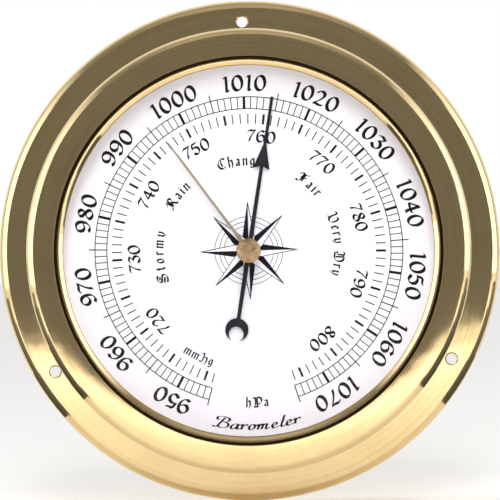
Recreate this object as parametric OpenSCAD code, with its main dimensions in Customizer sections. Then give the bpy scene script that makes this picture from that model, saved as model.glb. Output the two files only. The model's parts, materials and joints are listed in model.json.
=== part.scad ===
// Aneroid wall barometer: a flanged brass case, a dial and a sector-and-pinion movement.
// The wall is the XZ plane, the dial faces -Y and Z is up. The origin is on the dial's axis,
// in the back face of the flange. Inside face_on() everything is drawn as seen from the front:
// x to the right, y up and z towards the viewer, so z is the distance in front of the wall.

/* [Case] */
// Outside diameter of the wall flange
flange_d = 145; // [140:1:165]
// Thickness of the flange
flange_t = 2.6; // [2:0.1:3.5]
// Radius of the flange's rounded rim
flange_round = 2.2; // [0.5:0.1:2.5]
// Diameter of the circle through the wall screw holes
hole_circle_d = 132.5; // [131:0.5:134]
// Diameter of each wall screw hole
hole_d = 3.2; // [2.6:0.1:3.6]
// Number of wall screw holes
hole_count = 3; // [3:1:6]
// Outside diameter of the drum
drum_d = 119; // [119:0.5:121]
// Wall thickness of the drum
drum_wall = 1.5; // [1:0.1:1.6]
// Depth from the wall to the front of the bezel
case_depth = 42; // [42:1:50]

/* [Bezel and glass] */
// Diameter of the opening in the bezel
opening_d = 102; // [98:1:103]
// Thickness of the bezel's skirt around the drum
bezel_wall = 1.65; // [1.2:0.05:2]
// Radius of the bezel's rounded shoulder
bezel_round = 2; // [1:0.1:2.2]
// Thickness of the glass
glass_t = 2; // [1.5:0.1:2.4]

/* [Hands] */
// Direction of the pressure pointer, clockwise from the top
pointer_angle = 10.5; // [-163:0.5:163]
// Length of the pointer from its axis to its tip
pointer_len = 43.2; // [40:0.1:46]
// Direction of the brass set hand, clockwise from the top
set_angle = -35; // [-180:1:180]
// Length of the set hand from its axis to its tip
set_len = 37.3; // [30:0.1:44]
// Diameter of the set knob
knob_d = 6.8; // [6.6:0.1:9]
// How far the set knob stands in front of the bezel
knob_out = 4.5; // [3:0.5:10]

/* [Movement] */
// Diameter of the aneroid capsule
capsule_d = 44; // [36:1:46]
// Depth of each capsule half
capsule_h = 3.6; // [3:0.1:3.8]
// Number of corrugation rings in each diaphragm
corrugations = 5; // [3:1:6]
// Gear module
gear_module = 0.45; // [0.43:0.01:0.46]
// Teeth on the pinion
pinion_teeth = 12; // [12:1:14]
// Teeth that the sector would have as a full wheel
sector_full_teeth = 96; // [90:2:96]
// Turns in the hairspring
hairspring_turns = 5; // [3:1:6]

/* [Hidden] */
$fn = 96;
slack = 0.01;                       // radial gap of a pressed or screwed fit
run = 0.04;                         // radial gap of a running fit

// Radii of the case
flange_r = flange_d / 2;
rim_round = min(flange_round, flange_t - 0.2);
drum_r = drum_d / 2;
bore_r = drum_r - drum_wall;
bezel_bore_r = drum_r + 0.05;
bezel_r = bezel_bore_r + bezel_wall;
opening_r = opening_d / 2;
glass_r = bore_r - 1.1;
dial_r = bore_r - 0.2;

// Levels in front of the wall
cover_z = 1;
cover_t = 1.2;
rear_ledge_z = cover_z + cover_t;
rear_ledge_t = 2;
rear_ledge_r = bore_r - 5.5;
cover_screw_at = bore_r - 3;         // distance of the cover screws from the dial's axis
cover_screw_angles = [40, 160, 280];
dial_back_z = case_depth - 11;
dial_t = 1;
dial_face_z = dial_back_z + dial_t;
front_ledge_t = 2;
front_ledge_r = bore_r - 2.5;
drum_front_z = case_depth - 6;
lip_z = case_depth - 2.5;
gasket_t = 0.5;
glass_front_z = lip_z - gasket_t;
glass_back_z = glass_front_z - glass_t;
skirt_back_z = case_depth - 18;
pointer_z = dial_face_z + 1.2;
pointer_t = 0.4;
set_hand_z = dial_face_z + 3.1;
set_hand_t = 0.4;

// Levels of the movement
base_z = 5;
base_t = 2;
base_r = 48;
base_front_z = base_z + base_t;
capsule_mid_z = 13;
capsule_leaf_t = 0.3;
rocker_z = 20;
lower_plate_z = 22;
plate_t = 1.2;
upper_plate_z = 28.5;
sector_z = 24.9;
sector_t = 0.8;

// Places of the movement, as seen from the front
pitch = gear_module / 2;
pinion_pitch_r = pitch * pinion_teeth;
sector_pitch_r = pitch * sector_full_teeth;
sector_at = [0, -(pinion_pitch_r + sector_pitch_r)];
sector_teeth = 14;
tail_len = 4.2;
rocker_lift = 6.6;                  // from the rocking shaft to the link pin
link_x = -16;                       // of the rocking shaft and the link pin
link_y = sector_at.y - tail_len + 0.15;
capsule_arm_len = 2.4;
stud_r = 2.3;                       // of the capsule's stud in the base plate
capsule_at = [link_x + capsule_arm_len, -2];
post_top_at = [link_x, 25.5];
post_low_at = [link_x, -33.5];
frame_at = [[17, -20], [12, 12], [0, -35.5]];
post_places = concat(frame_at, [post_top_at, post_low_at]);
dial_pillar_r = 42;
dial_pillar_angles = [60, 180, 300];
hairspring_z = 27;
collet_r = 1.6;                     // of the hairspring's collet
stud_at = 6.9;                      // of the hairspring's outer end from the pointer's axis

// Radii of screws, arbors and pins
cover_screw_r = 1;
calibration_r = 1.2;
pillar_screw_r = 1.25;
post_screw_r = 1;
plate_screw_r = 0.8;
pivot_r = 0.5;                      // thin ends of the arbors, and the pins of the link
pointer_arbor_r = 0.9;
sector_arbor_r = 1.2;
pointer_bush_hole_r = 1.6;          // in the upper plate
shaft_r = 1;                        // of the rocking shaft
set_arbor_r = 1.2;
glass_bush_r = 2.25;

brass = "#c8a55c";
dull_brass = "#a98f58";
steel = "#a7abb0";
bronze = "#b78b52";

// ---- Helpers ----

module face_on() { rotate([90, 0, 0]) children(); }

module clock(angle, radius) { rotate([0, 0, -angle]) translate([0, radius, 0]) children(); }

module rod(z0, z1, r) { translate([0, 0, z0]) cylinder(r = r, h = z1 - z0); }

module ring(z0, z1, outer, inner) {
    difference() {
        rod(z0, z1, outer);
        rod(z0 - 1, z1 + 1, inner);
    }
}

// Extrudes each outline by itself, so that the pieces of one plate join as solids.
module sheet(z0, z1) {
    for (i = [0:$children - 1]) translate([0, 0, z0]) linear_extrude(z1 - z0) children(i);
}

module bar(a, b, w) {
    translate(a) rotate(atan2(b.y - a.y, b.x - a.x)) translate([0, -w / 2]) square([norm(b - a), w]);
}

module disc_at(p, r) { translate(p) circle(r); }

// A slotted screw. Its head rests on z = 0 and points to +z.
module slotted_screw(shank_r, shank_len, head_r, head_h) {
    slot_w = head_r * 0.3;
    difference() {
        union() {
            rod(0, head_h * 0.7, head_r);
            translate([0, 0, head_h * 0.7]) cylinder(r1 = head_r, r2 = head_r * 0.8, h = head_h * 0.3);
            rod(-shank_len, 0, shank_r);
        }
        translate([-head_r - 1, -slot_w / 2, head_h * 0.5]) cube([2 * head_r + 2, slot_w, head_h]);
    }
}

module from_behind(p, z) { translate([p.x, p.y, z]) rotate([180, 0, 0]) children(); }

function arc(cx, cy, r, a0, a1, n) =
    [for (i = [0:n]) [cx + r * cos(a0 + (a1 - a0) * i / n), cy + r * sin(a0 + (a1 - a0) * i / n)]];

// ---- Case ----

module case_body() {
    fillet = 0.8;                   // between the flange and the drum
    sink = 0.3;                     // of each screw hole's mouth
    profile = concat(
        [[bore_r, 0], [flange_r, 0]],
        arc(flange_r - rim_round, flange_t - rim_round, rim_round, 0, 90, 10),
        arc(drum_r + fillet, flange_t + fillet, fillet, 270, 180, 5),
        [[drum_r, drum_front_z], [bore_r, drum_front_z],
         [bore_r, dial_back_z], [front_ledge_r, dial_back_z],
         [front_ledge_r, dial_back_z - front_ledge_t], [bore_r, dial_back_z - front_ledge_t],
         [bore_r, rear_ledge_z + rear_ledge_t], [rear_ledge_r, rear_ledge_z + rear_ledge_t],
         [rear_ledge_r, rear_ledge_z], [bore_r, rear_ledge_z]]);
    color(brass) face_on() difference() {
        rotate_extrude() polygon(profile);
        for (i = [0:hole_count - 1]) clock(360 * i / hole_count, hole_circle_d / 2) {
            rod(-1, flange_t + 1, hole_d / 2);
            translate([0, 0, flange_t - sink])
                cylinder(r1 = hole_d / 2, r2 = hole_d / 2 + 2 * sink, h = 2 * sink);
        }
        for (a = cover_screw_angles) clock(a, cover_screw_at) rod(0, rear_ledge_z + 8, cover_screw_r + slack);
    }
}

module bezel() {
    edge_r = bezel_r - bezel_round;             // where the shoulder meets the face
    face_r = opening_r + 2.5;                   // inner edge of the face
    face_fall = 0.065;                          // the face leans in by this much
    lip_r = 2.16;                               // radius of the rolled lip
    lip_lean = 47.4;                            // its slope at the opening
    lip_at = opening_r + lip_r * sin(lip_lean);
    groove = 1.6;                               // depth of the dark line between face and lip
    groove_w = 0.9;
    lip_top = case_depth - 0.52;
    fall = function (r) face_fall * pow((edge_r - r) / (edge_r - face_r), 2);
    profile = concat(
        [[bezel_bore_r, skirt_back_z], [bezel_r - 0.3, skirt_back_z], [bezel_r, skirt_back_z + 0.3]],
        arc(edge_r, case_depth - bezel_round, bezel_round, 0, 90, 12),
        [for (i = [1:8]) let (r = edge_r + (face_r - edge_r) * i / 8) [r, case_depth - fall(r)]],
        [[face_r - 0.1, case_depth - groove], [face_r - groove_w, case_depth - groove],
         [lip_at + 0.01, lip_top - 0.1]],
        arc(lip_at, lip_top - lip_r, lip_r, 90, 90 + lip_lean, 8),
        [[opening_r, lip_z], [glass_r + 0.3, lip_z], [glass_r + 0.3, drum_front_z],
         [bezel_bore_r, drum_front_z]]);
    color(brass) face_on() rotate_extrude() polygon(profile);
}

module glass() {
    color("#dfe8ea", 0.35) face_on() ring(glass_back_z, glass_front_z, glass_r, glass_bush_r + 0.05);
}

module glass_gasket() {
    color("#202020") face_on() ring(glass_front_z, lip_z, glass_r, opening_r + 1.4);
}

module glass_spacer() {
    color("silver") face_on() ring(dial_face_z, glass_back_z, glass_r, opening_r + 0.8);
}

module dial_plate() {
    color("#efeef2") face_on() ring(dial_back_z, dial_face_z, dial_r, pointer_arbor_r + 1.3);
}

module rear_cover() {
    access_r = 2.4;                 // reaches the calibration screw
    vent_r = 0.75;
    vents_at = [20, 10];
    vents_apart = 4;
    head_r = 2.1;
    color(brass) face_on() difference() {
        rod(cover_z, rear_ledge_z, dial_r);
        translate(capsule_at) rod(0, 5, access_r);
        for (a = [0:72:288]) translate(vents_at) clock(a, vents_apart) rod(0, 5, vent_r);
        for (a = cover_screw_angles) clock(a, cover_screw_at) {
            rod(0, 5, cover_screw_r + 0.1);
            translate([0, 0, cover_z - slack]) cylinder(r1 = head_r, r2 = cover_screw_r + 0.1, h = 1);
        }
    }
}

module cover_screws() {
    head_h = 0.9;
    head_r = 1.9;
    slot_w = 0.5;
    color(brass) face_on() for (a = cover_screw_angles) clock(a, cover_screw_at) difference() {
        union() {
            translate([0, 0, cover_z]) cylinder(r1 = head_r, r2 = cover_screw_r, h = head_h);
            rod(cover_z + head_h, rear_ledge_z + rear_ledge_t + 0.6, cover_screw_r);
        }
        translate([-3, -slot_w / 2, cover_z - 0.1]) cube([6, slot_w, 0.5]);
    }
}

// ---- Frame of the movement ----

module dial_pillars() {
    color(brass) face_on() for (a = dial_pillar_angles) clock(a, dial_pillar_r) difference() {
        rod(base_front_z, dial_back_z, 2.5);
        rod(base_z, base_front_z + 7, pillar_screw_r + slack);
    }
}

module dial_pillar_screws() {
    color(brass) face_on() for (a = dial_pillar_angles) clock(a, dial_pillar_r)
        from_behind([0, 0], base_z) slotted_screw(pillar_screw_r, base_t + 6, 2.3, 1.4);
}

module base_plate() {
    window_r = 5;                   // two holes that lighten the plate
    color(dull_brass) face_on() difference() {
        rod(base_z, base_front_z, base_r);
        translate(capsule_at) rod(0, 20, stud_r + run);
        for (p = post_places) translate(p) rod(0, 20, post_screw_r + slack);
        for (a = dial_pillar_angles) clock(a, dial_pillar_r) rod(0, 20, pillar_screw_r + slack);
        for (x = [18, 30]) translate([x, 8]) rod(0, 20, window_r);
    }
}

module base_screws() {
    color(brass) face_on() for (p = post_places)
        from_behind(p, base_z) slotted_screw(post_screw_r, base_t + 5, 1.9, 1.2);
}

module frame_pillars() {
    color(brass) face_on() for (p = frame_at) translate(p) difference() {
        rod(base_front_z, lower_plate_z, 2);
        rod(base_z, base_front_z + 6, post_screw_r + slack);
        rod(lower_plate_z - 7, lower_plate_z + 1, plate_screw_r + slack);
    }
}

// Outline that both plates of the frame share.
module plate_outline() {
    bar(frame_at[1], [0, 0], 4);
    bar([0, 0], sector_at, 4.4);
    bar(sector_at, frame_at[2], 4.4);
    bar(sector_at, frame_at[0], 4);
    bar(frame_at[0], frame_at[1], 3.6);
    for (p = frame_at) disc_at(p, 2.7);
    disc_at([0, 0], 4);
    disc_at(sector_at, 3.6);
}

module frame_plate(z, centre_hole_r) {
    difference() {
        sheet(z, z + plate_t) plate_outline();
        for (p = frame_at) translate(p) rod(z - 1, z + 3, plate_screw_r + slack);
        rod(z - 1, z + 3, centre_hole_r + slack);
        translate(sector_at) rod(z - 1, z + 3, sector_arbor_r + slack);
    }
}

module lower_plate() {
    color(brass) face_on() frame_plate(lower_plate_z, sector_arbor_r);
}

module upper_plate() {
    color(brass) face_on() frame_plate(upper_plate_z, pointer_bush_hole_r);
}

module plate_spacers() {
    color(brass) face_on() for (p = frame_at) translate(p)
        ring(lower_plate_z + plate_t, upper_plate_z, 2, plate_screw_r + slack);
}

module plate_screws() {
    top = upper_plate_z + plate_t;
    color(steel) face_on() for (p = frame_at) translate([p.x, p.y, top])
        slotted_screw(plate_screw_r, top - lower_plate_z + 5, 1.5, 0.9);
}

module arbor_bushes() {
    color("#d9b872") face_on() {
        ring(lower_plate_z, lower_plate_z + plate_t, sector_arbor_r, pivot_r + run);
        ring(upper_plate_z, upper_plate_z + plate_t, pointer_bush_hole_r, pointer_arbor_r + run);
        for (z = [lower_plate_z, upper_plate_z]) translate(sector_at)
            ring(z, z + plate_t, sector_arbor_r, pivot_r + run);
    }
}

module rocker_post(at, side) {
    difference() {
        translate(at) rod(base_front_z, rocker_z + 2.5, 2.5);
        translate(at) rod(base_z, base_front_z + 6, post_screw_r + slack);
        translate([at.x, at.y, rocker_z]) rotate([90 * side, 0, 0]) rod(-1, 4, pivot_r + run);
    }
}

module rocker_post_upper() { color(brass) face_on() rocker_post(post_top_at, 1); }

module rocker_post_lower() { color(brass) face_on() rocker_post(post_low_at, -1); }

// ---- Capsule ----

// Height of a diaphragm above the capsule's rim, at radius r.
function dish(r, rim, flat) =
    r > rim - 1.4 ? 0 :
    r > rim - 2.6 ? (capsule_h - 0.7) * (rim - 1.4 - r) / 1.2 :
    r < flat ? capsule_h - 0.35 :
    capsule_h - 0.7 + 0.35 * (1 - cos(360 * corrugations * (rim - 2.6 - r) / (rim - 2.6 - flat))) / 2;

// One half of the capsule, drawn as the front half around z = 0.
module diaphragm() {
    rim = capsule_d / 2;
    flat = 4;
    steps = corrugations * 6;
    bent = [for (i = [0:steps]) flat + (rim - 2.6 - flat) * i / steps];
    radii = concat([0], bent, [rim - 1.4, rim]);
    upper = [for (r = radii) [r, dish(r, rim, flat) + capsule_leaf_t]];
    lower = [for (i = [len(radii) - 1:-1:0]) [radii[i], dish(radii[i], rim, flat)]];
    rotate_extrude() polygon(concat(upper, lower));
}

module capsule_rear() {
    color(bronze) face_on() translate([capsule_at.x, capsule_at.y, capsule_mid_z])
        rotate([180, 0, 0]) diaphragm();
}

module capsule_front() {
    color(bronze) face_on() translate([capsule_at.x, capsule_at.y, capsule_mid_z]) diaphragm();
}

// Rear leaf's outer face and front leaf's outer face.
function capsule_skin(side) = capsule_mid_z + side * (capsule_h - 0.35 + capsule_leaf_t);

module capsule_stud() {
    back = capsule_skin(-1);
    color(brass) face_on() translate(capsule_at) difference() {
        union() {
            rod(back - 0.6, back, 3.8);
            rod(base_z + 0.6, back - 0.6, stud_r);
        }
        rod(base_z, back - 0.8, calibration_r + run);
    }
}

module capsule_spring() {
    low = base_front_z;
    high = capsule_skin(-1) - 0.6;
    color(steel) face_on() translate(capsule_at)
        rotate_extrude() polygon([[2.5, low], [2.9, low], [4.6, high], [4.2, high]]);
}

module calibration_screw() {
    color(brass) face_on() from_behind(capsule_at, base_z - 0.05)
        slotted_screw(calibration_r, capsule_skin(-1) - 1 - base_z, 3, 1.5);
}

module capsule_boss() {
    front = capsule_skin(1);
    color(brass) face_on() translate(capsule_at) {
        rod(front, front + 0.6, 3.8);
        rod(front + 0.6, rocker_z - 0.9, 0.9);
    }
}

// ---- Rocking shaft and link ----

module along_y(x, z) { translate([x, 0, z]) rotate([-90, 0, 0]) children(); }

module rocking_shaft() {
    low = post_low_at.y + 2.5;
    top = post_top_at.y - 2.5;
    color(steel) face_on() along_y(link_x, rocker_z) {
        rod(low + 0.2, top - 0.2, shaft_r);
        rod(low - 1.6, top + 1.6, pivot_r);
    }
}

module capsule_arm() {
    color(brass) face_on() difference() {
        union() {
            along_y(link_x, rocker_z) rod(capsule_at.y - 1.5, capsule_at.y + 1.5, 1.45);
            translate([link_x + 1, capsule_at.y - 0.6, rocker_z - 0.5]) cube([capsule_arm_len - 1, 1.2, 1]);
            translate([capsule_at.x, capsule_at.y, rocker_z]) sphere(0.8);
        }
        along_y(link_x, rocker_z) rod(-40, 40, shaft_r + slack);
    }
}

// Layers of the link joint along y: the arm, then the link's tab, both on the arm's pin.
arm_y = link_y + 1.25;
tab_t = 0.8;

module link_arm() {
    tip_z = rocker_z + rocker_lift;
    color(brass) face_on() {
        difference() {
            union() {
                along_y(link_x, rocker_z) rod(arm_y - 0.5, arm_y + 1.5, 2.1);
                translate([link_x - 0.8, arm_y - 0.5, rocker_z + 1]) cube([1.6, 1, rocker_lift - 1]);
                along_y(link_x, tip_z) rod(arm_y - 0.5, arm_y + 0.5, 0.95);
            }
            along_y(link_x, rocker_z) rod(-40, 40, shaft_r + slack);
        }
        along_y(link_x, tip_z) rod(link_y - 0.8, arm_y - 0.5, pivot_r);
    }
}

module link_rod() {
    z = rocker_z + rocker_lift;
    eye_r = 0.8;
    color(steel) face_on() difference() {
        union() {
            along_y(link_x, z) rod(link_y - tab_t / 2, link_y + tab_t / 2, 1.1);
            translate([link_x + 0.6, link_y - tab_t / 2, z - 0.3]) cube([-link_x - 1.4, tab_t, 0.6]);
            translate([0, link_y]) rod(z - 0.3, z + 0.3, 1.5);
        }
        along_y(link_x, z) rod(-40, 0, pivot_r + run);
        translate([0, link_y]) rod(z - 2, z + 2, eye_r);
    }
}

// ---- Sector, pinion and hairspring ----

backlash = 0.07;                    // gap across the teeth at the pitch circle
pressure_angle = 20;

function involute_angle(a) = tan(a) * 180 / PI - a;

// Half of a tooth's angle at radius r.
function half_tooth(r, pitch_r, teeth) =
    let (base = pitch_r * cos(pressure_angle))
    90 / teeth - backlash / pitch_r * 45 / PI + involute_angle(pressure_angle)
        - (r > base ? involute_angle(acos(base / r)) : 0);

// One tooth's outline around the direction `middle`, clockwise from the top.
function tooth(middle, pitch_r, teeth, root, tip) =
    let (radii = [root, pitch_r - 0.12, pitch_r, (pitch_r + tip) / 2, tip])
    [for (side = [-1, 1], i = [0:4])
        let (r = radii[side < 0 ? i : 4 - i], a = middle + side * half_tooth(r, pitch_r, teeth))
        [r * sin(a), r * cos(a)]];

module pinion() {
    root = pinion_pitch_r - 1.05 * gear_module;
    tip = pinion_pitch_r + 0.75 * gear_module;
    outline = [for (i = [0:pinion_teeth - 1])
        each tooth(180 + 360 * i / pinion_teeth, pinion_pitch_r, pinion_teeth, root, tip)];
    color(steel) face_on() difference() {
        sheet(sector_z - 0.7, sector_z + sector_t + 0.7) polygon(outline);
        rod(0, 40, pointer_arbor_r + slack);
    }
}

module sector_gear() {
    root = sector_pitch_r - 1.05 * gear_module;
    tip = sector_pitch_r + 0.5 * gear_module;
    step = 360 / sector_full_teeth;
    edge = sector_teeth / 2 * step;
    rim_in = sector_pitch_r - 2.6;
    teeth_line = [for (i = [0:sector_teeth - 1])
        each tooth((i + 0.5) * step - edge, sector_pitch_r, sector_full_teeth, root, tip)];
    back_line = [for (i = [0:12]) let (a = edge - 2 * edge * i / 12) [rim_in * sin(a), rim_in * cos(a)]];
    spoke = [for (s = [-1, 1]) (rim_in + 0.5) * [s * sin(edge - 4), cos(edge - 4)]];
    color(brass) face_on() translate(sector_at) difference() {
        sheet(sector_z, sector_z + sector_t) {
            polygon(concat(teeth_line, back_line));
            bar([0, 0], spoke[0], 1.8);
            bar([0, 0], spoke[1], 1.8);
            bar([0, 0], [0, -tail_len], 1.8);
            circle(2.6);
            disc_at([0, -tail_len], 1.2);
        }
        rod(0, 40, sector_arbor_r + slack);
        translate([0, -tail_len]) rod(0, 40, pivot_r + slack);
    }
}

module sector_pin() {
    color(steel) face_on() translate([0, sector_at.y - tail_len])
        rod(sector_z, rocker_z + rocker_lift + 0.8, pivot_r);
}

module sector_arbor() {
    low = lower_plate_z + plate_t + 0.15;
    top = upper_plate_z - 0.15;
    color(steel) face_on() translate(sector_at) {
        rod(lower_plate_z, upper_plate_z + plate_t, pivot_r);
        rod(low, top, sector_arbor_r);
        rod(sector_z - 0.8, sector_z, 2.2);
    }
}

module pointer_arbor() {
    low = lower_plate_z + plate_t + 0.15;
    color(steel) face_on() {
        rod(lower_plate_z, low, pivot_r);
        rod(low, pointer_z + 1, pointer_arbor_r);
        rod(upper_plate_z - 0.6, upper_plate_z - 0.15, pointer_bush_hole_r - 0.1);
    }
}

module hairspring_collet() {
    color(brass) face_on() ring(hairspring_z - 0.2, hairspring_z + 0.6, collet_r, pointer_arbor_r + slack);
}

module hairspring() {
    leaf = 0.12;
    per_turn = 24;
    steps = hairspring_turns * per_turn;
    grow = (stud_at - 0.65 - collet_r) / steps;
    line = function (i, off) let (r = collet_r + leaf / 2 + slack + grow * i + off, a = -360 * i / per_turn)
        [r * sin(a), r * cos(a)];
    outside = [for (i = [0:steps]) line(i, leaf / 2)];
    inside = [for (i = [steps:-1:0]) line(i, -leaf / 2)];
    color("#6f7f97") face_on() sheet(hairspring_z, hairspring_z + 0.4) polygon(concat(outside, inside));
}

module hairspring_stud() {
    color(brass) face_on() translate([0, stud_at]) rod(hairspring_z - 0.2, upper_plate_z, 0.6);
}

// ---- Pointer ----

module pointer_bush() {
    color(brass) face_on() {
        ring(pointer_z - 0.7, pointer_z, 1.5, pointer_arbor_r + slack);
        ring(pointer_z + pointer_t, pointer_z + 1.1, 1.5, pointer_arbor_r + slack);
    }
}

module pointer() {
    head_tip = 30.3;
    head_base = 23.3;
    head_w = 4.65;
    tail_in = 22.2;
    crescent_r = 3.22;
    bite_r = 2.04;                  // of the round cut that leaves the crescent
    bite_at = 1.2;                  // from the crescent's middle
    horn_end = 2.95;                // where its horns are cut square
    color("#232326") face_on() rotate([0, 0, -pointer_angle]) difference() {
        sheet(pointer_z, pointer_z + pointer_t) {
            polygon([[-0.62, 0], [0.62, 0], [0.46, head_tip - 1], [0.4, pointer_len], [-0.4, pointer_len],
                [-0.46, head_tip - 1]]);
            polygon([[-head_w / 2, head_base - 0.35], [0, head_base + 0.5], [head_w / 2, head_base - 0.35],
                [0.3, head_tip], [-0.3, head_tip]]);
            polygon([[-0.7, 0], [0.7, 0], [0.5, -tail_in + 2], [-0.5, -tail_in + 2]]);
            difference() {
                disc_at([0, -tail_in], crescent_r);
                disc_at([0, -tail_in - bite_at], bite_r);
                translate([-5, -tail_in - 10 - horn_end]) square([10, 10]);
            }
            circle(2.4);
        }
        rod(0, 60, pointer_arbor_r + slack);
    }
}

// ---- Set hand in the glass ----

module glass_bush() {
    color(brass) face_on() difference() {
        union() {
            rod(glass_front_z, glass_front_z + 0.6, 3.2);
            rod(glass_back_z - 1.1, glass_front_z, glass_bush_r);
        }
        rod(20, 60, set_arbor_r + run);
    }
}

module glass_washer() {
    color("#5b3a22") face_on() ring(glass_back_z - 0.3, glass_back_z, 3.2, glass_bush_r + slack);
}

module glass_nut() {
    color(brass) face_on() difference() {
        translate([0, 0, glass_back_z - 1.1]) cylinder(r = 3.4, h = 0.8, $fn = 6);
        rod(20, 60, glass_bush_r + slack);
    }
}

module set_arbor() {
    color(brass) face_on() rod(set_hand_z - 0.1, case_depth + knob_out - 2, set_arbor_r);
}

module set_hand() {
    color(dull_brass) face_on() rotate([0, 0, -set_angle]) difference() {
        sheet(set_hand_z, set_hand_z + set_hand_t) {
            polygon([[-0.9, 0], [0.9, 0], [0.4, 7], [0.3, set_len - 6], [0.16, set_len],
                [-0.16, set_len], [-0.3, set_len - 6], [-0.4, 7]]);
            circle(2.6);
        }
        rod(0, 60, set_arbor_r + slack);
    }
}

module set_spring_washer() {
    low = glass_front_z + 0.65;
    color(steel) face_on() rotate_extrude()
        polygon([[1.4, low + 0.35], [2.9, low], [2.9, low + 0.2], [1.4, low + 0.55]]);
}

module set_knob() {
    back = glass_front_z + 1.3;
    front = case_depth + knob_out;
    edge = front - 0.7;             // the ridged side ends here
    dome_r = 16;                    // radius of the slightly domed front
    ridges = 28;
    r = knob_d / 2;
    side = [for (i = [0:2 * ridges - 1]) let (a = 180 * i / ridges, q = i % 2 == 0 ? r : r - 0.18)
        [q * cos(a), q * sin(a)]];
    color(dull_brass) face_on() difference() {
        union() {
            sheet(back + 0.5, edge) polygon(side);
            rod(back, back + 0.5, r - 0.5);
            intersection() {
                rod(edge, front, r - 0.25);
                translate([0, 0, front - dome_r]) sphere(dome_r);
            }
        }
        rod(0, front - 2, set_arbor_r + slack);
    }
}

case_body();
bezel();
glass();
glass_gasket();
glass_spacer();
dial_plate();
rear_cover();
cover_screws();
dial_pillars();
dial_pillar_screws();
base_plate();
base_screws();
frame_pillars();
lower_plate();
plate_spacers();
upper_plate();
plate_screws();
arbor_bushes();
rocker_post_upper();
rocker_post_lower();
capsule_rear();
capsule_front();
capsule_stud();
capsule_spring();
calibration_screw();
capsule_boss();
rocking_shaft();
capsule_arm();
link_arm();
link_rod();
sector_arbor();
sector_gear();
sector_pin();
pointer_arbor();
pinion();
hairspring_collet();
hairspring();
hairspring_stud();
pointer_bush();
pointer();
glass_bush();
glass_nut();
glass_washer();
set_arbor();
set_hand();
set_spring_washer();
set_knob();
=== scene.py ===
"""Looks of the aneroid barometer: a finish for every CAD node, the printed dial, and the studio."""

import json
import math

import bpy
from mathutils import Matrix, Vector


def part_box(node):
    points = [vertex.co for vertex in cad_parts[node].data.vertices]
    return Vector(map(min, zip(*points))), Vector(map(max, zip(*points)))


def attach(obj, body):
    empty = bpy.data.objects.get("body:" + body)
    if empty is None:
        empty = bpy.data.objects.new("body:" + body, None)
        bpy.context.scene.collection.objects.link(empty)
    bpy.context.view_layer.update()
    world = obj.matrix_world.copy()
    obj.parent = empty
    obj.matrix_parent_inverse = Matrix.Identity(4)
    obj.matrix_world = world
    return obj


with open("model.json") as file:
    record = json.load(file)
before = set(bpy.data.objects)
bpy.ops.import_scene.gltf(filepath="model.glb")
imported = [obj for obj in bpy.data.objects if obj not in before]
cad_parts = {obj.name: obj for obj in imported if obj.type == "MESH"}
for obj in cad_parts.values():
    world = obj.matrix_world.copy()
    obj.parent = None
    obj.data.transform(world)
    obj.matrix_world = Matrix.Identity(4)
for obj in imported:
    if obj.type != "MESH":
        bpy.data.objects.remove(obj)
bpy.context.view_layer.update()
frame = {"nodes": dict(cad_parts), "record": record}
nodes = frame["nodes"]
MM = 0.001
DIAL_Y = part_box("dial_plate")[0].y          # the dial's white face
FLANGE_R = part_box("case_body")[1].z
# The dark line in this groove is painted shade in the bezel's base colour.
GROOVE_R = 53.05 * MM                       # the dark line between the bezel's face and its lip
GROOVE_W = 0.95 * MM


# ---- Node helpers ----

def node(tree, kind, inputs=None, out=0, **props):
    """Adds a node, sets or links its inputs, and returns one of its outputs."""
    made = tree.nodes.new("ShaderNode" + kind)
    for key, value in props.items():
        setattr(made, key, value)
    for key, value in (inputs or {}).items():
        if isinstance(value, bpy.types.NodeSocket):
            tree.links.new(value, made.inputs[key])
        else:
            made.inputs[key].default_value = value
    return made.outputs[out]


def maths(tree, operation, a, b=0.0):
    return node(tree, "Math", {0: a, 1: b}, operation=operation)


def ramp(tree, factor, stops):
    """A colour ramp from (position, colour) pairs; a single number stands for a grey."""
    made = tree.nodes.new("ShaderNodeValToRGB")
    tree.links.new(factor, made.inputs[0])
    points = made.color_ramp.elements
    while len(points) < len(stops):
        points.new(0.5)
    for point, (position, colour) in zip(points, stops):
        point.position = position
        point.color = (*colour, 1) if isinstance(colour, tuple) else (colour, colour, colour, 1)
    return made.outputs[0]


def mix(tree, factor, a, b):
    made = tree.nodes.new("ShaderNodeMix")
    made.data_type = "RGBA"
    for socket, value in ((made.inputs[0], factor), (made.inputs[6], a), (made.inputs[7], b)):
        if isinstance(value, bpy.types.NodeSocket):
            tree.links.new(value, socket)
        else:
            socket.default_value = value
    return made.outputs[2]


def material(name):
    made = bpy.data.materials.new(name)
    made.use_nodes = True
    tree = made.node_tree
    return made, tree, tree.nodes["Principled BSDF"]


def place(tree):
    """Each point's place in the row frame, in metres."""
    return node(tree, "TexCoord", out=3)


def noise(tree, scale, detail=4.0, rough=0.55, vector=None):
    return node(tree, "TexNoise", {"Vector": vector or place(tree), "Scale": scale, "Detail": detail,
                                   "Roughness": rough})


def length(tree, a, b):
    return maths(tree, "SQRT", maths(tree, "ADD", maths(tree, "MULTIPLY", a, a),
                                     maths(tree, "MULTIPLY", b, b)))


def turned(tree, scale):
    """Noise that changes with the distance from the dial's axis and hardly around it, as on a turned face."""
    x, y, z = node(tree, "SeparateXYZ", {0: place(tree)}).node.outputs
    radius = length(tree, x, z)
    turn = maths(tree, "ARCTAN2", x, z)
    where = node(tree, "CombineXYZ", {0: radius, 1: y, 2: maths(tree, "MULTIPLY", turn, 0.0006)})
    return noise(tree, scale, 3.0, 0.6, where)


def relief(tree, shader, height, depth, wave=0.0):
    """Fine relief of the given depth, over slow waves of their own depth."""
    bump = {"Height": height, "Distance": depth}
    if wave:
        bump["Normal"] = node(tree, "Bump", {"Height": noise(tree, 130, 1), "Distance": wave})
    tree.links.new(node(tree, "Bump", bump), shader.inputs["Normal"])


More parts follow.
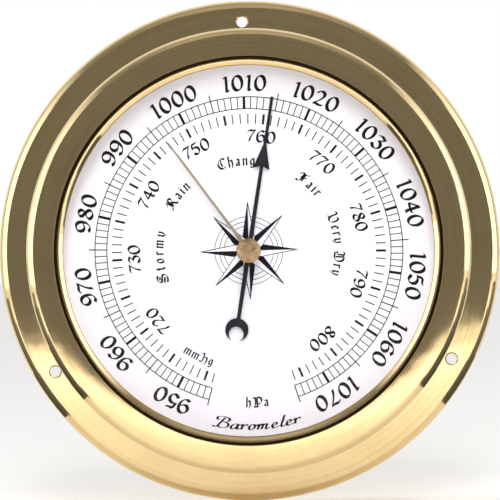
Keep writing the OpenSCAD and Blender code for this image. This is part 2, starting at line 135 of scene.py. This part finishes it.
def metal(name, colour, tarnish, rough, spread, lines=True, grain=0.0000015, blotch=0.35, wave=0.0,
          streak=0.0):
    """A metal with cloudy tarnish and fine tool marks. streak adds polish lines round the axis."""
    made, tree, shader = material(name)
    cloud = ramp(tree, noise(tree, 55, 6, 0.65), [(0.38, 0.0), (0.72, 1.0)])
    specks = ramp(tree, noise(tree, 900, 2, 0.5), [(0.62, 0.0), (0.76, 1.0)])
    dirt = maths(tree, "MULTIPLY", maths(tree, "ADD", cloud, maths(tree, "MULTIPLY", specks, 0.5)), blotch)
    if streak:
        polish = ramp(tree, turned(tree, 1300), [(0.35, 0.0), (0.7, 1.0)])
        dirt = maths(tree, "ADD", dirt, maths(tree, "MULTIPLY", polish, streak))
    tree.links.new(mix(tree, dirt, (*colour, 1), (*tarnish, 1)), shader.inputs["Base Color"])
    marks = turned(tree, 9000) if lines else noise(tree, 4000, 3)
    uneven = maths(tree, "ADD", maths(tree, "MULTIPLY", dirt, spread),
                   maths(tree, "MULTIPLY", marks, spread * 0.6))
    tree.links.new(maths(tree, "ADD", uneven, rough), shader.inputs["Roughness"])
    shader.inputs["Metallic"].default_value = 1.0
    relief(tree, shader, marks, grain, wave)
    return made


def paint(name, colour, shade, rough, scale=600, depth=0.000002, spread=0.1, shine=0.5):
    """A painted or moulded surface with a faint grain and small changes of shade."""
    made, tree, shader = material(name)
    shader.inputs["Specular IOR Level"].default_value = shine
    tone = noise(tree, scale / 8, 4)
    tree.links.new(mix(tree, tone, (*colour, 1), (*shade, 1)), shader.inputs["Base Color"])
    grain = noise(tree, scale * 6, 3)
    tree.links.new(maths(tree, "ADD", maths(tree, "MULTIPLY", grain, spread), rough),
                   shader.inputs["Roughness"])
    relief(tree, shader, grain, depth)
    return made


def blacken_groove(made):
    """Painted shade: the groove between the bezel's face and its lip is darkened in the base colour and made
    rougher.
    """
    tree = made.node_tree
    shader = tree.nodes["Principled BSDF"]
    x, y, z = node(tree, "SeparateXYZ", {0: place(tree)}).node.outputs
    off = maths(tree, "ABSOLUTE", maths(tree, "SUBTRACT", length(tree, x, z), GROOVE_R))
    groove_shade = ramp(tree, maths(tree, "DIVIDE", off, GROOVE_W), [(0.40, 1.0), (0.58, 0.0)])
    # painted shade: a dark brown base colour and a higher roughness in the groove
    for name, value in (("Base Color", (0.05, 0.025, 0.008, 1)), ("Roughness", (0.6, 0.6, 0.6, 1))):
        socket = shader.inputs[name]
        tree.links.new(mix(tree, groove_shade, socket.links[0].from_socket, value), socket)
    return made


def clear_glass(name):
    """A thin polished pane: clear from in front and a mirror at a grazing angle, from either face."""
    made, tree, shader = material(name)
    tree.nodes.remove(shader)
    smears = maths(tree, "MULTIPLY", ramp(tree, noise(tree, 30, 5, 0.7), [(0.5, 0.0), (0.8, 1.0)]), 0.006)
    grazing = maths(tree, "POWER", node(tree, "LayerWeight", {"Blend": 0.5}, 1), 5.0)
    share = maths(tree, "ADD", maths(tree, "ADD", grazing, 0.005), smears)
    gloss = node(tree, "BsdfGlossy", {"Color": (0.95, 0.97, 0.96, 1), "Roughness": 0.02})
    through = node(tree, "BsdfTransparent", {"Color": (0.99, 0.987, 0.99, 1)})
    pane = node(tree, "MixShader", {0: share, 1: through, 2: gloss})
    tree.links.new(pane, tree.nodes["Material Output"].inputs["Surface"])
    return made


def knob_finish(name):
    """Old brass with a pitted, brown face."""
    made, tree, shader = material(name)
    blotches = ramp(tree, noise(tree, 700, 4, 0.7), [(0.35, (0.24, 0.15, 0.07)), (0.55, (0.47, 0.31, 0.16)),
                                                     (0.75, (0.60, 0.47, 0.27))])
    tree.links.new(blotches, shader.inputs["Base Color"])
    pits = noise(tree, 3500, 4, 0.75)
    tree.links.new(maths(tree, "ADD", maths(tree, "MULTIPLY", pits, 0.25), 0.22),
                   shader.inputs["Roughness"])
    shader.inputs["Metallic"].default_value = 1.0
    relief(tree, shader, pits, 0.00003)
    return made


BRASS = (0.86, 0.66, 0.34)


def case_metal(name):
    return metal(name, BRASS, (0.66, 0.47, 0.22), 0.02, 0.05, grain=0.0000003, wave=0.000012, streak=0.42)


finish = {
    "case_brass": case_metal("case_brass"),
    "dull_brass": metal("dull_brass", (0.50, 0.43, 0.28), (0.30, 0.23, 0.13), 0.30, 0.15, lines=False),
    "plate_brass": metal("plate_brass", (0.80, 0.61, 0.31), (0.55, 0.38, 0.18), 0.20, 0.15),
    "bronze": metal("bronze", (0.70, 0.47, 0.25), (0.42, 0.25, 0.13), 0.24, 0.15),
    "steel": metal("steel", (0.62, 0.61, 0.59), (0.38, 0.36, 0.33), 0.22, 0.15, lines=False),
    "blued_steel": metal("blued_steel", (0.10, 0.14, 0.28), (0.16, 0.12, 0.20), 0.22, 0.10, lines=False),
    "pointer_black": paint("pointer_black", (0.008, 0.008, 0.009), (0.014, 0.014, 0.017), 0.38, 900,
                           shine=0.2),
    "dial_white": paint("dial_white", (0.935, 0.915, 0.965), (0.905, 0.885, 0.94), 0.42, 400, 0.000001),
    "ring_metal": metal("ring_metal", (0.80, 0.72, 0.55), (0.50, 0.42, 0.28), 0.35, 0.15),
    "glass": clear_glass("glass"),
    "gasket_rubber": paint("gasket_rubber", (0.020, 0.019, 0.018), (0.035, 0.033, 0.030), 0.65, 500,
                           0.00001),
    "fibre": paint("fibre", (0.30, 0.17, 0.08), (0.20, 0.10, 0.05), 0.75, 900, 0.00001),
}
# the bezel's brass gets painted shade in the groove between its face and lip
special = {"set_knob": knob_finish("knob_brass"), "bezel": blacken_groove(case_metal("bezel_brass"))}
ink = paint("ink", (0.005, 0.005, 0.007), (0.010, 0.010, 0.013), 0.45, 900, 0.0000005, shine=0.1)
for part in frame["record"]["subparts"]:
    slots = nodes[part["node"]].data.materials
    slots.clear()
    slots.append(special.get(part["node"], finish[part["material_slot"]]))


# ---- Printing on the dial ----

class Print:
    """Ink on the dial: flat shapes with a little thickness, drawn in millimetres, x right and y up."""

    thickness = 0.03 * MM
    sunk = 0.02 * MM

    def __init__(self, shift=(0, 0)):
        self.points = []
        self.faces = []
        self.shift = shift

    def prism(self, left, right):
        """A strip between two lines of points, closed at its ends."""
        start = len(self.points)
        n = len(left)
        for y in (DIAL_Y - self.thickness, DIAL_Y + self.sunk):
            self.points += [((px + self.shift[0]) * MM, y, (pz + self.shift[1]) * MM)
                            for px, pz in left + right]
        top = [start + i for i in range(2 * n)]
        low = [start + 2 * n + i for i in range(2 * n)]
        for a in range(n - 1):
            b = a + 1
            c = n + a + 1
            d = n + a
            self.faces += [(top[a], top[b], top[c], top[d]), (low[d], low[c], low[b], low[a]),
                           (top[b], top[a], low[a], low[b]), (top[d], top[c], low[c], low[d])]
        for i, j in ((0, n), (2 * n - 1, n - 1)):
            self.faces.append((top[i], top[j], low[j], low[i]))

    def arc(self, radius, width, start, end):
        """Part of a circle around the axis, with directions clockwise from the top in degrees."""
        steps = max(2, int(abs(end - start) / 3))
        turns = [math.radians(start + (end - start) * i / steps) for i in range(steps + 1)]
        edge = [[(r * math.sin(t), r * math.cos(t)) for t in turns]
                for r in (radius + width / 2, radius - width / 2)]
        self.prism(*edge)

    def tick(self, turn, inner, outer, width):
        t = math.radians(turn)
        along = (math.sin(t), math.cos(t))
        across = (math.cos(t), -math.sin(t))
        edge = [[(along[0] * r + across[0] * s, along[1] * r + across[1] * s) for r in (inner, outer)]
                for s in (-width / 2, width / 2)]
        self.prism(*edge)

    def stroke(self, path, nib, put):
        """A pen stroke along a path of glyph points. put turns a glyph point into a dial point."""
        line = smooth(path)
        half, thin, lean = nib
        ca = math.cos(lean)
        sa = math.sin(lean)
        left = []
        right = []
        for i, (x, y) in enumerate(line):
            ax, ay = line[max(i - 1, 0)]
            bx, by = line[min(i + 1, len(line) - 1)]
            size = math.hypot(bx - ax, by - ay)
            nx = -(by - ay) / size
            ny = (bx - ax) / size
            u = (nx * ca + ny * sa) * half
            v = (-nx * sa + ny * ca) * thin
            reach = math.hypot(u, v)
            ox = (u * half * ca - v * thin * sa) / reach
            oy = (u * half * sa + v * thin * ca) / reach
            left.append(put(x + ox, y + oy))
            right.append(put(x - ox, y - oy))
        self.prism(left, right)

    def piece(self, name, skin):
        mesh = bpy.data.meshes.new(name)
        mesh.from_pydata(self.points, [], self.faces)
        mesh.materials.append(skin)
        made = bpy.data.objects.new(name, mesh)
        bpy.context.scene.collection.objects.link(made)
        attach(made, "case")


def smooth(path, steps=4):
    """A Catmull-Rom curve through the points; two points stay a straight line."""
    if len(path) == 2:
        return path
    closed = path[0] == path[-1]
    before = path[-2] if closed else path[0]
    after = path[1] if closed else path[-1]
    p = [before, *path, after]
    out = []
    for i in range(1, len(p) - 2):
        for k in range(steps):
            t = k / steps
            w = (-t + 2 * t * t - t ** 3, 2 - 5 * t * t + 3 * t ** 3, t + 4 * t * t - 3 * t ** 3,
                 t ** 3 - t * t)
            out.append(tuple(sum(w[j] * p[i - 1 + j][c] for j in range(4)) / 2 for c in (0, 1)))
    return out + [path[-1]]


def oval(cx, cy, rx, ry):
    turns = [math.tau * i / 12 for i in range(12)]
    return [(cx + rx * math.sin(t), cy + ry * math.cos(t)) for t in turns] + [(cx, cy + ry)]


# Numerals and letters as pen strokes. A figure is 1 high; each entry is its width and its strokes.
SIX = [[(0.60, 0.84), (0.50, 0.90), (0.37, 0.94)],
       [(0.37, 0.94), (0.13, 0.73), (0.07, 0.38), (0.18, 0.12), (0.38, 0.06), (0.58, 0.17), (0.64, 0.38),
        (0.52, 0.56), (0.34, 0.57), (0.16, 0.46)]]
FIGURES = {
    "0": (0.74, [oval(0.37, 0.5, 0.285, 0.44)]),
    "1": (0.46, [[(0.10, 0.88), (0.20, 0.90), (0.29, 0.94)],
                 [(0.27, 0.94), (0.25, 0.50), (0.22, 0.08)],
                 [(0.21, 0.08), (0.29, 0.06), (0.38, 0.09)]]),
    "2": (0.70, [[(0.08, 0.72), (0.18, 0.87), (0.32, 0.93), (0.50, 0.86), (0.54, 0.68), (0.40, 0.42),
                  (0.06, 0.07)],
                 [(0.06, 0.08), (0.24, 0.11), (0.42, 0.08), (0.63, 0.12)]]),
    "3": (0.66, [[(0.06, 0.80), (0.18, 0.91), (0.32, 0.92), (0.54, 0.86)],
                 [(0.54, 0.86), (0.42, 0.71), (0.25, 0.58)],
                 [(0.25, 0.58), (0.44, 0.55), (0.58, 0.38), (0.52, 0.16), (0.32, 0.06), (0.18, 0.12),
                  (0.04, 0.22)]]),
    "4": (0.72, [[(0.42, 0.94), (0.26, 0.68), (0.06, 0.38)],
                 [(0.05, 0.37), (0.34, 0.35), (0.68, 0.38)],
                 [(0.42, 0.94), (0.44, 0.50), (0.46, 0.10)],
                 [(0.46, 0.09), (0.52, 0.06), (0.60, 0.09)]]),
    "5": (0.66, [[(0.12, 0.92), (0.30, 0.90), (0.54, 0.94)],
                 [(0.13, 0.90), (0.10, 0.74), (0.06, 0.55)],
                 [(0.06, 0.55), (0.26, 0.62), (0.48, 0.52), (0.54, 0.30), (0.44, 0.12), (0.28, 0.06),
                  (0.16, 0.12), (0.04, 0.21)]]),
    "6": (0.72, SIX),
    "7": (0.66, [[(0.05, 0.80), (0.12, 0.91), (0.26, 0.93), (0.42, 0.90), (0.63, 0.94)],
                 [(0.63, 0.94), (0.42, 0.66), (0.24, 0.36), (0.17, 0.07)]]),
    "8": (0.70, [[(0.52, 0.82), (0.36, 0.94), (0.16, 0.84), (0.20, 0.66), (0.40, 0.53), (0.58, 0.38),
                  (0.60, 0.20), (0.36, 0.06), (0.12, 0.18), (0.16, 0.36), (0.36, 0.50), (0.50, 0.64),
                  (0.52, 0.82)]]),
    "9": (0.72, [[(0.72 - x, 1 - y) for x, y in line] for line in SIX]),
}


def stem(x, top=0.66):
    """A broad upright with slanted ends."""
    return [(x - 0.05, top - 0.03), (x, top - 0.10), (x, 0.12), (x + 0.05, 0.04)]


# Broken letters, with small letters 0.66 high and capitals 1 high.
BROKEN = {
    "a": (0.50, [[(0.10, 0.54), (0.20, 0.63), (0.33, 0.55)],
                 [(0.34, 0.58), (0.34, 0.12), (0.40, 0.04)],
                 [(0.34, 0.38), (0.15, 0.30), (0.10, 0.16), (0.18, 0.06), (0.33, 0.14)]]),
    "e": (0.44, [[(0.12, 0.36), (0.34, 0.50), (0.24, 0.63), (0.11, 0.52), (0.11, 0.16), (0.20, 0.05),
                  (0.36, 0.14)]]),
    "g": (0.50, [[(0.24, 0.62), (0.11, 0.52), (0.11, 0.20), (0.20, 0.08), (0.34, 0.18)],
                 [(0.22, 0.60), (0.36, 0.56), (0.37, 0.02), (0.26, -0.16), (0.08, -0.12)]]),
    "h": (0.54, [stem(0.11, 1.0), [(0.12, 0.50), (0.28, 0.63), (0.40, 0.52), (0.40, 0.10), (0.28, -0.12)]]),
    "i": (0.26, [stem(0.12), [(0.10, 0.84), (0.16, 0.80)]]),
    "m": (0.80, [stem(0.11),
                 stem(0.38),
                 stem(0.65),
                 [(0.12, 0.52), (0.34, 0.64)],
                 [(0.39, 0.52), (0.61, 0.64)]]),
    "n": (0.54, [stem(0.11), stem(0.39), [(0.12, 0.52), (0.35, 0.64)]]),
    "o": (0.52, [[(0.24, 0.63), (0.11, 0.50), (0.11, 0.16), (0.26, 0.03)],
                 [(0.24, 0.63), (0.39, 0.52), (0.39, 0.16), (0.26, 0.03)]]),
    "r": (0.38, [stem(0.11), [(0.14, 0.54), (0.24, 0.64), (0.33, 0.56)]]),
    "t": (0.36, [[(0.14, 0.84), (0.13, 0.60), (0.13, 0.12), (0.26, 0.06)], [(0.02, 0.60), (0.28, 0.60)]]),
    "y": (0.52, [[(0.06, 0.63), (0.12, 0.54), (0.12, 0.18), (0.24, 0.06)],
                 [(0.36, 0.64), (0.41, 0.50), (0.37, 0.12), (0.16, -0.18)]]),
    "C": (0.82, [[(0.46, 0.93), (0.20, 0.80), (0.08, 0.50), (0.16, 0.20), (0.40, 0.05), (0.76, 0.20)],
                 [(0.40, 0.84), (0.36, 0.50), (0.44, 0.24)],
                 [(0.30, 0.84), (0.54, 0.96), (0.76, 0.84)]]),
    "D": (1.02, [[(0.02, 0.80), (0.16, 0.96), (0.40, 0.88), (0.70, 0.92), (0.92, 0.70), (0.94, 0.34),
                  (0.78, 0.08)],
                 [(0.78, 0.08), (0.44, 0.03), (0.10, 0.10)],
                 [(0.34, 0.84), (0.34, 0.40), (0.22, 0.26), (0.04, 0.30)],
                 [(0.54, 0.86), (0.54, 0.12)]]),
    "F": (0.94, [[(0.38, 0.88), (0.38, 0.30), (0.26, 0.06), (0.04, 0.02), (0.02, 0.16)],
                 [(0.54, 0.86), (0.52, 0.14)],
                 [(0.08, 0.66), (0.22, 0.92), (0.48, 0.84), (0.72, 0.90), (0.94, 1.02)],
                 [(0.24, 0.52), (0.56, 0.54), (0.82, 0.60)]]),
    "H": (0.86, [[(0.06, 0.80), (0.20, 0.96), (0.34, 0.84), (0.34, 0.20), (0.22, 0.03), (0.04, 0.10)],
                 [(0.36, 0.50), (0.56, 0.66), (0.72, 0.52), (0.72, 0.10), (0.56, -0.12)]]),
    "P": (0.94, [[(0.02, 0.84), (0.14, 0.95), (0.28, 0.80), (0.26, 0.24), (0.10, 0.02)],
                 [(0.44, 0.90), (0.44, -0.06)],
                 [(0.28, 0.84), (0.54, 0.97), (0.80, 0.84), (0.86, 0.56), (0.70, 0.34), (0.46, 0.32)],
                 [(0.10, 0.06), (0.32, 0.00), (0.60, 0.10)]]),
    "R": (0.98, [[(0.26, 0.88), (0.28, 0.30), (0.14, 0.06), (0.02, 0.12)],
                 [(0.44, 0.88), (0.42, 0.14)],
                 [(0.02, 0.60), (0.12, 0.80), (0.32, 0.88), (0.56, 0.96), (0.76, 0.80), (0.66, 0.60),
                  (0.46, 0.52)],
                 [(0.52, 0.52), (0.70, 0.28), (0.80, 0.06), (0.98, 0.10)]]),
    "S": (0.96, [[(0.84, 0.84), (0.60, 0.97), (0.26, 0.90), (0.18, 0.70), (0.36, 0.56), (0.70, 0.46),
                  (0.82, 0.26), (0.62, 0.06), (0.30, 0.03), (0.04, 0.16)],
                 [(0.06, 0.42), (0.30, 0.34), (0.52, 0.22)],
                 [(0.46, 0.84), (0.46, 0.66)],
                 [(0.60, 0.82), (0.60, 0.60)]]),
    "V": (0.98, [[(0.00, 0.76), (0.12, 0.96), (0.28, 0.82), (0.28, 0.36), (0.40, 0.12)],
                 [(0.40, 0.12), (0.62, 0.02), (0.84, 0.26), (0.84, 0.72), (0.66, 0.92)],
                 [(0.12, 0.10), (0.40, 0.12)],
                 [(0.66, 0.92), (0.54, 0.76)]]),
    " ": (0.30, []),
}

# Sloping round hand, with small letters 0.48 high and the capital 1 high.
ROUND = {
    "B": (1.06, [[(0.02, 0.12), (0.10, 0.02), (0.28, 0.10), (0.50, 0.50), (0.74, 0.92)],
                 [(0.34, 0.66), (0.22, 0.78), (0.34, 0.95), (0.76, 1.0), (1.04, 0.86), (0.92, 0.62),
                  (0.60, 0.53)],
                 [(0.60, 0.53), (0.92, 0.48), (0.98, 0.24), (0.74, 0.04), (0.46, 0.03), (0.34, 0.12)]]),
    "a": (0.64, [[(0.56, 0.42), (0.36, 0.48), (0.14, 0.32), (0.08, 0.10), (0.20, 0.02), (0.40, 0.16),
                  (0.54, 0.42)],
                 [(0.58, 0.48), (0.46, 0.14), (0.50, 0.02), (0.68, 0.12)]]),
    "e": (0.50, [[(0.08, 0.20), (0.30, 0.26), (0.40, 0.40), (0.28, 0.48), (0.10, 0.30), (0.10, 0.08),
                  (0.24, 0.01), (0.52, 0.16)]]),
    "m": (0.88, [[(0.02, 0.34), (0.16, 0.48), (0.04, 0.02)],
                 [(0.08, 0.20), (0.30, 0.46), (0.40, 0.42), (0.28, 0.02)],
                 [(0.32, 0.20), (0.54, 0.46), (0.66, 0.42), (0.56, 0.10), (0.62, 0.01), (0.82, 0.14)]]),
    "o": (0.56, [[(0.36, 0.48), (0.14, 0.34), (0.09, 0.10), (0.22, 0.01), (0.42, 0.16), (0.46, 0.36),
                  (0.36, 0.48)],
                 [(0.42, 0.44), (0.58, 0.38)]]),
    "r": (0.46, [[(0.02, 0.34), (0.18, 0.48), (0.07, 0.02)],
                 [(0.12, 0.22), (0.30, 0.44), (0.46, 0.44), (0.42, 0.34)]]),
    "t": (0.38, [[(0.46, 0.98), (0.22, 0.40), (0.12, 0.12), (0.20, 0.01), (0.40, 0.14)],
                 [(0.12, 0.50), (0.46, 0.54)]]),
}


def write(page, text, alphabet, middle, baseline, height, nib, gap, spread=1.0, inward=False):
    """Writes text along a circle. middle is its direction, baseline its radius, and gap the space between
    letters as a share of the height. With inward, the tops of the letters point to the axis."""
    widths = [alphabet[c][0] * spread + gap for c in text]
    at = -sum(widths) / 2
    for letter, room in zip(text, widths):
        centre = (at + room / 2) * height / (baseline + (-1 if inward else 1) * height * 0.35)
        turn = math.radians(middle) + (-centre if inward else centre)
        half = alphabet[letter][0] / 2

        def put(x, y, turn=turn, half=half):
            along = (x - half) * spread * height
            up = y * height
            if inward:
                along = -along
                up = -up
            return (math.sin(turn) * (baseline + up) + math.cos(turn) * along,
                    math.cos(turn) * (baseline + up) - math.sin(turn) * along)

        for path in alphabet[letter][1]:
            page.stroke(path, nib, put)
        at += room


# The pressure scale reads 1010 hPa at the top. A standard atmosphere is 1013.25 hPa or 760 mm of mercury.
TOP_HPA = 1010
DEG_PER_HPA = 2.51
HPA_PER_MM = 1013.25 / 760


def hpa_turn(hpa):
    return (hpa - TOP_HPA) * DEG_PER_HPA


def mm_turn(mm):
    return hpa_turn(mm * HPA_PER_MM)


HPA_IN = 39.4                               # the pressure scale's marks
HPA_OUT = 42.9
HPA_LONG = 44.5
HAIRLINE = 0.26
HPA_LOW = 945
HPA_HIGH = 1075
MM_IN = 35.3                                # the mercury scale's marks
MM_OUT = 38.1
MM_LOW = 709
MM_HIGH = 806
scale = Print()
for radius in (42.8, 39.5):
    scale.arc(radius, HAIRLINE, hpa_turn(HPA_LOW), hpa_turn(HPA_HIGH))
for hpa in range(HPA_LOW, HPA_HIGH + 1):
    if hpa % 10 == 0:
        scale.tick(hpa_turn(hpa), HPA_IN, HPA_OUT, 0.74)
    elif hpa % 5 == 0:
        scale.tick(hpa_turn(hpa), HPA_IN, HPA_LONG, 0.3)
    else:
        scale.tick(hpa_turn(hpa), HPA_IN, HPA_OUT, HAIRLINE)
for mm in range(MM_LOW, MM_HIGH + 1):
    scale.tick(mm_turn(mm), MM_IN, MM_OUT, 0.64 if mm % 5 == 0 else 0.3)
scale.piece("dial_scale", ink)

PEN = (0.106, 0.036, math.radians(38))
pressures = Print(shift=(0.24, -0.12))        # they are printed a little off the scale's centre
for hpa in range(950, 1071, 10):
    write(pressures, str(hpa), FIGURES, hpa_turn(hpa), 44.5, 4.6, PEN, 0.08)
pressures.piece("pressure_numerals", ink)
numerals = Print()
for mm in range(720, 801, 10):
    write(numerals, str(mm), FIGURES, mm_turn(mm), 30.2, 3.55, PEN, 0.04)
numerals.piece("mercury_numerals", ink)

BROAD = (0.100, 0.030, math.radians(42))
words = Print()
for text, middle, gap in (("Stormy", 267.5, 0.25), ("Rain", 309.8, 0.17), ("Change", 355.8, 0.14),
                          ("Fair", 44.2, 0.16), ("Very Dry", 87.6, 0.18)):
    write(words, text, BROKEN, middle, 23.7, 3.05, BROAD, gap)
write(words, "mmHg", BROKEN, 207.3, 33.7, 2.7, BROAD, 0.10, inward=True)
write(words, "hPa", BROKEN, 178.7, 43.5, 2.8, BROAD, 0.12, 1.05, inward=True)
write(words, "Barometer", ROUND, 179.3, 49.8, 3.2, (0.084, 0.022, math.radians(12)), 0.03, 1.36,
      inward=True)
words.piece("dial_words", ink)

# The compass rose: eight points, each with a black half and an outlined half, over three thin circles.
TIP_R = 13.7
WAIST_R = 4.3
POINTS = 8
HALF_TURN = math.pi / POINTS
waist = (WAIST_R * math.sin(HALF_TURN), WAIST_R * math.cos(HALF_TURN))


def edge_turn(radius):
    """How far a point's edge stands from its middle line, in degrees, on a circle of that radius."""
    run = waist[0]
    drop = TIP_R - waist[1]
    a = run * run + drop * drop
    b = -2 * TIP_R * drop
    c = TIP_R * TIP_R - radius * radius
    s = (-b - math.sqrt(b * b - 4 * a * c)) / (2 * a)
    return math.degrees(math.atan2(run * s, TIP_R - drop * s))


rose = Print()
for i in range(POINTS):
    turn = 2 * HALF_TURN * i

    def spin(p, turn=turn):
        return (p[0] * math.cos(turn) + p[1] * math.sin(turn),
                p[1] * math.cos(turn) - p[0] * math.sin(turn))

    tip = (0.0, TIP_R)
    hub = (0.0, 2.0)
    rose.prism([spin((-waist[0], waist[1])), spin(tip)], [spin(hub), spin((0.06, TIP_R - 0.3))])
    outline = 0.09
    rose.prism([spin((waist[0] - outline, waist[1])), spin((0.0, TIP_R - 0.8))],
               [spin((waist[0] + outline, waist[1])), spin((0.10, TIP_R))])
    for radius in (9.46, 8.15, 6.9):
        gap = edge_turn(radius)
        middle = math.degrees(turn)
        rose.arc(radius, 0.17, middle + gap, middle + 360 / POINTS - gap)
rose.piece("compass_rose", ink)


# ---- Studio ----

def area_light(name, place_at, aim, size, power):
    """A soft lamp that lights the object and the floor, and doesn't show in reflections."""
    data = bpy.data.lights.new(name, "AREA")
    data.shape = "RECTANGLE"
    data.size, data.size_y = size
    data.energy = power
    made = bpy.data.objects.new(name, data)
    made.location = place_at
    made.rotation_euler = (Vector(aim) - Vector(place_at)).to_track_quat("-Z", "Y").to_euler()
    made.visible_camera = False
    made.visible_glossy = False
    bpy.context.scene.collection.objects.link(made)


def plane(name, corners, skin):
    mesh = bpy.data.meshes.new(name)
    mesh.from_pydata(corners, [], [tuple(range(len(corners)))])
    mesh.materials.append(skin)
    made = bpy.data.objects.new(name, mesh)
    bpy.context.scene.collection.objects.link(made)
    return made


def floor_skin():
    made, tree, shader = material("floor")
    shader.inputs["Base Color"].default_value = (0.85, 0.84, 0.82, 1)
    shader.inputs["Roughness"].default_value = 0.9
    shader.inputs["Emission Color"].default_value = (1, 1, 1, 1)
    shader.inputs["Emission Strength"].default_value = 0.2
    return made


def only_reflected(card):
    card.visible_camera = False
    card.visible_diffuse = False
    card.visible_shadow = False


def flag(name, corners):
    """A black card that only reflections show, painting shade into the reflections of the floor beside the
    object.
    """
    made, tree, shader = material(name)
    shader.inputs["Base Color"].default_value = (0.02, 0.018, 0.012, 1)
    card = plane(name, corners, made)
    only_reflected(card)


def lit_card(name, corners, colour, axis, stops):
    """A lit card that only reflections show. It thins out away from the middle along one axis."""
    made, tree, shader = material(name)
    tree.nodes.remove(shader)
    along = maths(tree, "ABSOLUTE", node(tree, "SeparateXYZ", {0: place(tree)}, axis))
    parts = {0: ramp(tree, along, stops), 1: node(tree, "BsdfTransparent"),
             2: node(tree, "Emission", {"Color": (*colour, 1)})}
    tree.links.new(node(tree, "MixShader", parts), tree.nodes["Material Output"].inputs["Surface"])
    card = plane(name, corners, made)
    only_reflected(card)


FLOOR_Z = -FLANGE_R - 0.0002
NEAR = -1.6                                 # the floor's ends and its half width
FAR = 8.0
SIDE = 3.0


def level(left, right, near, far, height):
    """The corners of a level sheet."""
    return [(left, near, height), (right, near, height), (right, far, height), (left, far, height)]


plane("floor", level(-SIDE, SIDE, NEAR, FAR, FLOOR_Z), floor_skin())
SHADE_CARD_IN = 0.085                             # the dark cards lie on the floor beside the object
SHADE_CARD_OUT = 0.45
# painted shade: two black cards on the floor beside the object, seen only in reflections
for side in (-1, 1):
    flag("flag", level(side * SHADE_CARD_IN, side * SHADE_CARD_OUT, -0.32, 0.02, FLOOR_Z + 0.001))
CARD_NEAR = -2.65
CARD_FAR = -0.05
CARD_TOP = 0.7
for x in (-0.6, 0.6):
    stand = [(x, CARD_NEAR, FLOOR_Z), (x, CARD_FAR, FLOOR_Z), (x, CARD_FAR, CARD_TOP),
             (x, CARD_NEAR, CARD_TOP)]
    lit_card("side_card", stand, (2.0, 2.1, 2.4), 2, [(0.3, 1.0), (CARD_TOP, 0.0)])
OVER = 0.36                                 # half width of the card overhead
lit_card("top_card", level(-OVER, OVER, -2.1, -0.26, 0.6), (0.55, 0.55, 0.55), 0,
         [(0.12, 1.0), (OVER, 0.0)])
area_light("key", (0.0, -1.0, 0.55), (0, -0.03, 0), (0.3, 0.9), 8.0)
area_light("fill", (0.0, -1.6, 0.1), (0, -0.03, 0), (1.6, 0.8), 6.0)

world = bpy.data.worlds.new("studio")
bpy.context.scene.world = world
world.use_nodes = True
sky = world.node_tree
# A dim room in front, lighter overhead, and white behind the object. The camera sees only white.
depth, up = node(sky, "SeparateXYZ", {0: node(sky, "TexCoord", out=0)}).node.outputs[1:]
room = ramp(sky, up, [(0.0, 0.2), (1.0, 0.4)])
backdrop = ramp(sky, maths(sky, "ADD", maths(sky, "MULTIPLY", depth, 0.5), 0.5), [(0.45, 0.0), (0.52, 1.0)])
around = mix(sky, backdrop, room, (1, 1, 1, 1))
seen = node(sky, "LightPath")
light = node(sky, "Background", {"Color": mix(sky, seen, around, (1, 1, 1, 1))})
sky.links.new(light, sky.nodes["World Output"].inputs["Surface"])

# ---- Camera ----

scene = bpy.context.scene
scene.view_settings.view_transform = "Standard"
lens = bpy.data.cameras.new("camera")
lens.sensor_width = 36
lens.lens = 186.0
camera = bpy.data.objects.new("camera", lens)
scene.collection.objects.link(camera)
scene.camera = camera
camera.location = (0.0048, -0.75, -0.0010)
aim = Vector((0.00012, 0.0, 0.00023))
roll = math.radians(1.9)
back = (camera.location - aim).normalized()
upright = Vector((math.sin(roll), 0, math.cos(roll)))
right = upright.cross(back).normalized()
lifted = back.cross(right)
camera.rotation_mode = "QUATERNION"
camera.rotation_quaternion = Matrix((right, lifted, back)).transposed().to_quaternion()
